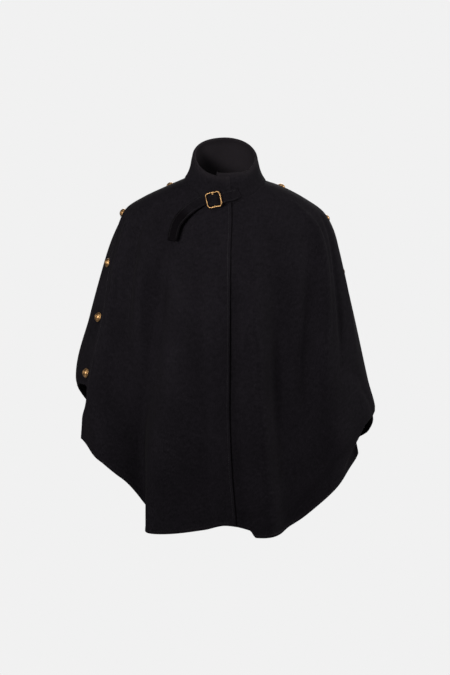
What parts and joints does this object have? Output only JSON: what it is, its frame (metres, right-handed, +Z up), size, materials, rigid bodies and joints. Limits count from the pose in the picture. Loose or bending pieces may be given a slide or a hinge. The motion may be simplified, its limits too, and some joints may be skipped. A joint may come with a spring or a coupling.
{
  "type": "poncho",
  "caption": "Hip-length wool poncho with a tall funnel collar, buckled neck strap and buttoned overarm seams.",
  "frame": {"origin": "middle of the neck opening at the foot of the collar, where the wearer's neck and shoulders carry the poncho", "axes": "+Z up, -Y to the front, +X to the wearer's left"},
  "size_m": [0.6138, 0.3595, 0.7948],
  "materials": {
    "wool_cloth": "black felted wool, brushed and matt",
    "gold_metal": "gold plated, polished"
  },
  "bodies": {
    "root": {"front_right_panel": "wool_cloth", "front_left_panel": "wool_cloth", "back_panel": "wool_cloth", "collar": "wool_cloth", "neck_strap": "wool_cloth", "buckle_tab": "wool_cloth", "buckle": "gold_metal", "button_right_1": "gold_metal", "button_right_2": "gold_metal", "button_right_3": "gold_metal", "button_right_4": "gold_metal", "button_right_5": "gold_metal", "button_left_1": "gold_metal", "button_left_2": "gold_metal", "button_left_3": "gold_metal", "button_left_4": "gold_metal", "button_left_5": "gold_metal"}
  },
  "joints": []
}
